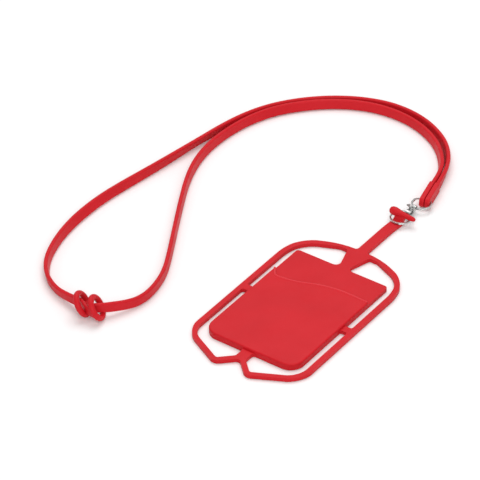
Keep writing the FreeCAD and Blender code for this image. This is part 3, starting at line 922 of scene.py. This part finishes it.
    def pocket(self) -> bpy.types.Object:
        """Raises the pocket's front, with its wavy mouth and the slot for the card.

        Returns:
            The front.
        """
        top, floor = self.pocket_high, self.plate_low.y + self.card_floor
        half, bottom = self.plate_high.x + self.pocket_proud, self.plate_low.y - self.pocket_proud
        block = prism([
            Corner(-half, bottom, self.plate_bottom_r), Corner(half, bottom, self.plate_bottom_r),
            Corner(half, self.block_top), Corner(-half, self.block_top),
        ], self.edge + self.block_lift, top)
        mouth = prism(self.mouth_rim(), -CUT_PAST, top + CUT_PAST)
        card = prism([
            Corner(-self.card_half, floor, self.card_r), Corner(self.card_half, floor, self.card_r),
            Corner(self.card_half, self.card_top), Corner(-self.card_half, self.card_top),
        ], self.thick - self.card_sink, top - self.sheet)
        bm = carved(block, [mouth, card])

        def on_wall(edge: bmesh.types.BMEdge) -> bool:
            """Says whether an edge lies on the pocket's outer wall.

            Args:
                edge: an edge of the front.

            Returns:
                True on the wall, False along the mouth.
            """
            middle = (edge.verts[0].co + edge.verts[1].co) / 2
            inside_x = abs(middle.x) < half - 0.05
            inside_y = middle.y > bottom + 0.05
            corner = abs(middle.x) > half - self.plate_bottom_r and middle.y < bottom + self.plate_bottom_r
            return not (inside_x and inside_y) or corner

        at_top = level_at(top)
        round_edges(bm, self.pocket_edge, 6, lambda edge: at_top(edge) and on_wall(edge))
        round_edges(bm, self.mouth_edge, 3, lambda edge: at_top(edge) and not on_wall(edge))
        return make_piece("pocket_face", bm, self.finish, Body.HOLDER)

    def head(self) -> bpy.types.Object:
        """Turns the stopper head, a bar with a fuller left end.

        Returns:
            The head.
        """
        low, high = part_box("stopper_head")
        middle = (low + high) / 2 / MM
        profile = [
            (-8.6, 0.0), (-8.50, 0.9), (-8.0, 1.75), (-7.0, 2.35), (-5.5, 2.60), (-3.8, 2.40),
            (-1.4, 1.90), (1.4, 1.60), (4.6, 1.50), (6.6, 1.42), (7.7, 1.12), (8.25, 0.55), (8.4, 0.0),
        ]
        bm = bmesh.new()
        chain = [bm.verts.new((x, 0.0, r)) for x, r in profile]
        edges = [bm.edges.new(pair) for pair in zip(chain, chain[1:])]
        bmesh.ops.spin(
            bm, geom=chain + edges, cent=(0.0, 0.0, 0.0), axis=(1.0, 0.0, 0.0),
            angle=math.tau, steps=28, use_merge=True,
        )
        bmesh.ops.remove_doubles(bm, verts=bm.verts[:], dist=1e-4)
        bmesh.ops.recalc_face_normals(bm, faces=bm.faces[:])
        turn = Matrix.Rotation(self.head_tilt, 4, "Y")
        bmesh.ops.transform(bm, matrix=Matrix.Translation(middle) @ turn, verts=bm.verts[:])
        piece = make_piece("holder_head", bm, self.finish, Body.HOLDER, weighted=False)
        smooth = piece.modifiers.new("smooth", "SUBSURF")
        smooth.levels = 1
        smooth.render_levels = 1
        return piece

    def build(self) -> None:
        """Makes the holder's pieces and says which nodes they stand for."""
        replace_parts(self.moulding(), "card_plate", "stretch_loop", "holder_neck")
        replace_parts(self.pocket(), "pocket_front")
        self.lip()
        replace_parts(self.head(), "stopper_head")


# ---------------------------------------------------------------- hardware
@dataclass
class SplitRing:
    """A ring of flat wire wound twice round. Sizes are in millimetres."""

    node: str
    body: Body
    finish: bpy.types.Material
    gap_at: float
    wire_wide: float = 1.05
    wire_high: float = 0.53
    wire_corner: float = 0.14
    step_angle: float = math.radians(34.0)
    end_angle: float = math.radians(20.0)
    steps: int = 120

    def build(self) -> bpy.types.Object:
        """Winds the wire twice round, with a step between the turns.

        Returns:
            The ring.
        """
        low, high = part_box(self.node)
        middle = (low + high) / 2
        radius = (high.x - low.x) / 2 - RING_HALF * MM
        half_rise = (high.z - low.z) / 4
        turns = 2 * math.tau
        points = []
        for index in range(self.steps + 1):
            angle = self.end_angle + (turns - 2 * self.end_angle) * index / self.steps
            share = max(0.0, min(1.0, (angle - math.tau) / self.step_angle + 0.5))
            height = half_rise * (2 * share * share * (3 - 2 * share) - 1)
            around = angle + self.gap_at
            points.append((
                middle.x + radius * math.cos(around), middle.y + radius * math.sin(around), middle.z + height,
            ))
        curve = route_curve(self.node + "_wire", points, [0.0] * len(points))
        curve.data.resolution_u = 2
        section = section_curve(self.wire_wide * MM, self.wire_high * MM, self.wire_corner * MM)
        bm = swept(curve, section)
        piece = make_piece(self.node + "_coil", bm, self.finish, self.body, scale=1.0)
        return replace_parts(piece, self.node)


@dataclass
class Clasp:
    """The swivel clasp's cast and turned pieces. Sizes are in millimetres."""

    chrome: bpy.types.Material
    steel: bpy.types.Material
    softening: float = 0.14
    cast_softening: float = 0.28
    spring_softening: float = 0.01

    def softened(self, node: str, name: str, body: Body, slot: Slot, width: float) -> bpy.types.Object:
        """A copy of a node with its edges rounded.

        Args:
            node: the node to copy.
            name: the new piece's name.
            body: the rigid group that it rides on.
            slot: the record's material slot.
            width: how far the rounding reaches, in millimetres.

        Returns:
            The new piece, which stands for the node.
        """
        bm = bmesh.new()
        bm.from_mesh(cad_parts[node].data)
        bmesh.ops.remove_doubles(bm, verts=bm.verts[:], dist=2e-6)
        bmesh.ops.dissolve_limit(bm, angle_limit=math.radians(1.0), verts=bm.verts[:], edges=bm.edges[:])
        finish = self.steel if slot is Slot.SPRING else self.chrome
        piece = make_piece(name, bm, finish, body, scale=1.0, weighted=False)
        rounding = piece.modifiers.new("rounding", "BEVEL")
        rounding.limit_method = "ANGLE"
        rounding.angle_limit = math.radians(35.0)
        rounding.width = width * MM
        rounding.segments = 3
        rounding.use_clamp_overlap = True
        normals = piece.modifiers.new("even_normals", "WEIGHTED_NORMAL")
        normals.keep_sharp = True
        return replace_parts(piece, node)

    def build(self) -> None:
        """Makes the clasp's five pieces."""
        self.softened("clasp_body", "clasp_casting", Body.CLASP, Slot.CHROME, self.cast_softening)
        self.softened("clasp_rivet", "clasp_pin", Body.CLASP, Slot.CHROME, self.softening)
        self.softened("clasp_trigger", "clasp_lever", Body.TRIGGER, Slot.CHROME, self.softening)
        self.softened("trigger_spring", "clasp_spring", Body.CLASP, Slot.SPRING, self.spring_softening)
        self.softened("swivel_eye", "clasp_eye", Body.SWIVEL, Slot.CHROME, self.softening)


# ---------------------------------------------------------------- lanyard
@dataclass
class Strap:
    """One strap of the lanyard, from its tab to the hoop that it ends in.

    The route, the stem, the hoop's middle and the length are in metres, leans are in degrees, and the
    other sizes are in millimetres.
    """

    name: str
    finish: bpy.types.Material
    side: int
    route: list[tuple[float, float, float]]
    leans: list[float]
    stem: list[tuple[float, float, float]]
    hoop_middle: tuple[float, float, float]
    length: float
    thick: float = 2.4
    wide: float = 6.2
    tab_thick: float = 2.9
    tab_wide: float = 6.6
    tab_gap: float = 0.3
    tab_end: float = 6.0
    tab_long: float = 19.5
    tab_turn: float = math.radians(13.5)
    tab_round: float = 0.45
    tab_edge: float = 0.6
    tab_hole: tuple[float, float] = (3.4, 125.088)
    bore: float = 0.9
    softness: float = 1.1
    stem_taper: float = 0.12
    hoop_r: float = 6.0
    hoop_wire: float = 1.72
    hoop_axis: tuple[float, float, float] = (0.78, 0.39, 0.50)

    def section(self) -> bpy.types.Object:
        """The strap's cross-section, which stands on edge."""
        return section_curve(self.thick * MM, self.wide * MM, self.softness * MM)

    def band(self) -> tuple[bpy.types.Object, list[Vector]]:
        """Sweeps the strap along its route.

        Returns:
            The strap and the line that it follows.
        """
        line = route_curve(self.name + "_line", self.route, self.leans)
        spots = line_of(line)
        bm = swept(line, self.section())
        piece = make_piece(self.name + "_band", bm, self.finish, Body.LANYARD, scale=1.0)
        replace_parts(piece, self.name + "_strap")
        return piece, spots

    def tab(self) -> bpy.types.Object:
        """Moulds the strap's thicker end, with the hole that the ring passes through.

        Returns:
            The tab.
        """
        far = self.tab_long - self.tab_end
        round_end = self.tab_wide * self.tab_round
        bm = prism([
            Corner(-self.tab_end, 0.0, round_end), Corner(far, 0.0, 0.6),
            Corner(far, self.tab_wide, 1.2), Corner(-self.tab_end, self.tab_wide, round_end),
        ], -self.tab_thick / 2, self.tab_thick / 2)
        for height in (-self.tab_thick / 2, self.tab_thick / 2):
            round_edges(bm, self.tab_edge, 4, level_at(height))
        # the outline's x runs along the tab, its y becomes height, and its thickness lies across
        along = Vector((-math.sin(self.tab_turn), math.cos(self.tab_turn), 0.0))
        across = Vector((along.y, -along.x, 0.0))
        middle = Vector((*self.tab_hole, 0.0)) + across * (self.side * (self.tab_gap + self.tab_thick) / 2)
        turn = Matrix((along, UP, across)).transposed().to_4x4()
        bmesh.ops.transform(bm, matrix=Matrix.Translation(middle) @ turn, verts=bm.verts[:])
        bmesh.ops.recalc_face_normals(bm, faces=bm.faces[:])
        # the hole follows the ring's own curve
        low, high = (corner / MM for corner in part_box("upper_ring"))
        bore = torus((high.x - low.x) / 2 - RING_HALF, self.bore, 96)
        bmesh.ops.translate(bore, verts=bore.verts[:], vec=(low + high) / 2)
        bm = carved(bm, [bore])
        piece = make_piece(self.name + "_end", bm, self.finish, Body.LANYARD)
        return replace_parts(piece, self.name + "_tab")

    def stem_piece(self) -> bpy.types.Object:
        """Sweeps the strap's last stretch, which passes through the other hoop and narrows a little.

        Returns:
            The stem.
        """
        curve = route_curve(self.name + "_stem_line", self.stem, [self.leans[-1]] * len(self.stem))
        points = curve.data.splines[0].points
        for index, point in enumerate(points):
            point.radius = 1.0 - self.stem_taper * index / (len(points) - 1)
        bm = swept(curve, self.section())
        return make_piece(self.name + "_stem", bm, self.finish, Body.LANYARD, scale=1.0)

    def hoop(self) -> bpy.types.Object:
        """Moulds the ring in which the strap ends.

        Returns:
            The hoop.
        """
        bm = torus(self.hoop_r, self.hoop_wire, 56)
        turn = UP.rotation_difference(Vector(self.hoop_axis)).to_matrix().to_4x4()
        middle = Vector(self.hoop_middle) / MM
        bmesh.ops.transform(bm, matrix=Matrix.Translation(middle) @ turn, verts=bm.verts[:])
        piece = make_piece(self.name + "_ring", bm, self.finish, Body.LANYARD, weighted=False)
        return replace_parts(piece, self.name + "_hoop")

    def build(self) -> None:
        band, spots = self.band()
        parts = [self.tab(), self.stem_piece(), self.hoop()]
        self.wide * MM


OUTER_ROUTE = [
    (0.0016, 0.1385, 0.0031), (-0.0018, 0.1526, 0.0031), (-0.0096, 0.1680, 0.0031),
    (-0.0214, 0.1802, 0.0031), (-0.0398, 0.1896, 0.0031), (-0.0602, 0.1921, 0.0031),
    (-0.0789, 0.1873, 0.0031), (-0.0962, 0.1772, 0.0031), (-0.1104, 0.1640, 0.0031),
    (-0.1212, 0.1492, 0.0031), (-0.1283, 0.1328, 0.0031), (-0.1330, 0.1146, 0.0031),
    (-0.1360, 0.0970, 0.0031), (-0.1384, 0.0780, 0.0031), (-0.1412, 0.0580, 0.0031),
    (-0.1444, 0.0390, 0.0031), (-0.1469, 0.0210, 0.0031), (-0.1474, 0.0030, 0.0031),
    (-0.1460, -0.0140, 0.0031), (-0.1424, -0.0300, 0.0031), (-0.1364, -0.0452, 0.0031),
    (-0.1270, -0.0570, 0.0031), (-0.1150, -0.0636, 0.0033), (-0.1055, -0.0656, 0.0042),
    (-0.0996, -0.0668, 0.0053),
]
OUTER_LEANS = [
    0, 16, 14, 10, 8, 8, 10, 16, 20, 20, 12, -6, -20, -6, 5, 14, 20, 27, 20, 15, 15, 10, 13, 10, 5,
]
INNER_ROUTE = [
    (-0.0011, 0.1379, 0.0031), (-0.0044, 0.1520, 0.0031), (-0.0126, 0.1650, 0.0031),
    (-0.0244, 0.1762, 0.0031), (-0.0416, 0.1844, 0.0031), (-0.0598, 0.1867, 0.0031),
    (-0.0773, 0.1835, 0.0031), (-0.0940, 0.1746, 0.0031), (-0.1078, 0.1619, 0.0031),
    (-0.1183, 0.1476, 0.0031), (-0.1246, 0.1314, 0.0031), (-0.1276, 0.1134, 0.0031),
    (-0.1277, 0.0960, 0.0031), (-0.1248, 0.0795, 0.0031), (-0.1184, 0.0620, 0.0031),
    (-0.1080, 0.0418, 0.0031), (-0.0958, 0.0194, 0.0031), (-0.0844, -0.0012, 0.0031),
    (-0.0766, -0.0164, 0.0031), (-0.0727, -0.0310, 0.0031), (-0.0723, -0.0430, 0.0032),
    (-0.0756, -0.0526, 0.0039), (-0.0800, -0.0596, 0.0052),
]
INNER_LEANS = [0, 16, 14, 10, 8, 8, 10, 16, 20, 18, 12, 10, 12, 13, 9, 7, 7, 7, 5, 2, 0, 0, 0]
OUTER_HOOP = (-0.0850, -0.0668, 0.00685)
INNER_HOOP = (-0.0934, -0.0686, 0.00685)
OUTER_STEM = [
    OUTER_ROUTE[-1], (-0.0967, -0.0674, 0.0062), INNER_HOOP,
    (-0.0885, -0.0715, 0.0070), (-0.0822, -0.0722, 0.00685),
]
INNER_STEM = [
    INNER_ROUTE[-1], (-0.0822, -0.0631, 0.0058), OUTER_HOOP,
    (-0.0905, -0.0690, 0.0050), (-0.0945, -0.0640, 0.0030),
]


# ---------------------------------------------------------------- surroundings
@dataclass
class Studio:
    """The table, the soft lights and the camera."""

    azimuth: float = math.radians(35.3)
    elevation: float = math.radians(36.35)
    eye: tuple[float, float, float] = (0.8193, -1.2103, 1.1235)
    lens: float = 255.0
    sensor: float = 36.0
    floor_size: float = 6.0
    floor_drop: float = 0.0003
    middle: tuple[float, float, float] = (-0.05, 0.06, 0.0)
    room_light: float = 0.58

    def floor(self) -> None:
        """Lays the plain pale surface."""
        bm = bmesh.new()
        bmesh.ops.create_grid(bm, x_segments=1, y_segments=1, size=self.floor_size)
        bmesh.ops.translate(bm, verts=bm.verts[:], vec=(0.0, 0.0, -self.floor_drop))
        mesh = bpy.data.meshes.new("table")
        bm.to_mesh(mesh)
        bm.free()
        mesh.materials.append(Tabletop("pale_table").material())
        table = bpy.data.objects.new("table", mesh)
        bpy.context.scene.collection.objects.link(table)

    def lamp(self, name: str, spot: tuple[float, float, float], size: float, power: float) -> None:
        """Adds one soft square light that faces the object's middle.

        Args:
            name: the light's name.
            spot: its place, in metres.
            size: the length of its side, in metres.
            power: its strength, in watts.
        """
        data = bpy.data.lights.new(name, "AREA")
        data.energy = power
        data.shape = "SQUARE"
        data.size = size
        light = bpy.data.objects.new(name, data)
        light.location = spot
        light.rotation_euler = (Vector(self.middle) - Vector(spot)).to_track_quat("-Z", "Y").to_euler()
        bpy.context.scene.collection.objects.link(light)

    def sky(self) -> None:
        """Fills the room with even white light."""
        world = bpy.data.worlds.new("room")
        world.use_nodes = True
        glow = world.node_tree.nodes["Background"]
        glow.inputs["Color"].default_value = (1.0, 1.0, 1.0, 1.0)
        glow.inputs["Strength"].default_value = self.room_light
        bpy.context.scene.world = world
        bpy.context.scene.view_settings.view_transform = "Standard"

    def camera(self) -> None:
        """Places the camera and makes it the scene's own."""
        data = bpy.data.cameras.new("camera")
        data.lens = self.lens
        data.sensor_width = self.sensor
        data.clip_end = 20.0
        camera = bpy.data.objects.new("camera", data)
        camera.location = self.eye
        camera.rotation_euler = (math.pi / 2 - self.elevation, 0.0, self.azimuth)
        bpy.context.scene.collection.objects.link(camera)
        bpy.context.scene.camera = camera

    def build(self) -> None:
        """Sets up everything round the object."""
        self.floor()
        self.sky()
        self.lamp("overhead", (-0.35, 0.45, 1.2), size=1.0, power=8.0)
        self.lamp("front", (0.7, -0.8, 0.9), size=0.8, power=7.5)
        self.camera()


def main() -> None:
    """Builds the whole scene."""
    logging.basicConfig(level=logging.INFO, format="%(name)s: %(message)s")
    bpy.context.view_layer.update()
    silicone = Silicone("red_silicone").material()
    # paler silicone for the mouth's bead: its lighter colour is a painted highlight
    rim = Silicone("red_silicone_rim_painted_highlight", deep=(0.64, 0.030, 0.042), light=(0.69, 0.038, 0.050)).material()
    chrome = Plated("bright_plate").material()
    steel = Plated("drawn_wire", tone=(0.62, 0.62, 0.63), rough=0.24).material()
    Studio().build()
    Strap(
        "outer", silicone, side=1, route=OUTER_ROUTE, leans=OUTER_LEANS,
        stem=OUTER_STEM, hoop_middle=OUTER_HOOP, length=0.4093,
    ).build()
    Strap(
        "inner", silicone, side=-1, route=INNER_ROUTE, leans=INNER_LEANS,
        stem=INNER_STEM, hoop_middle=INNER_HOOP, length=0.3783,
    ).build()
    Holder(silicone, rim).build()
    SplitRing("lower_ring", Body.LOWER_RING, chrome, math.radians(200.0)).build()
    SplitRing("upper_ring", Body.UPPER_RING, chrome, math.radians(150.0)).build()
    Clasp(chrome, steel).build()


if __name__ == "__main__":
    main()
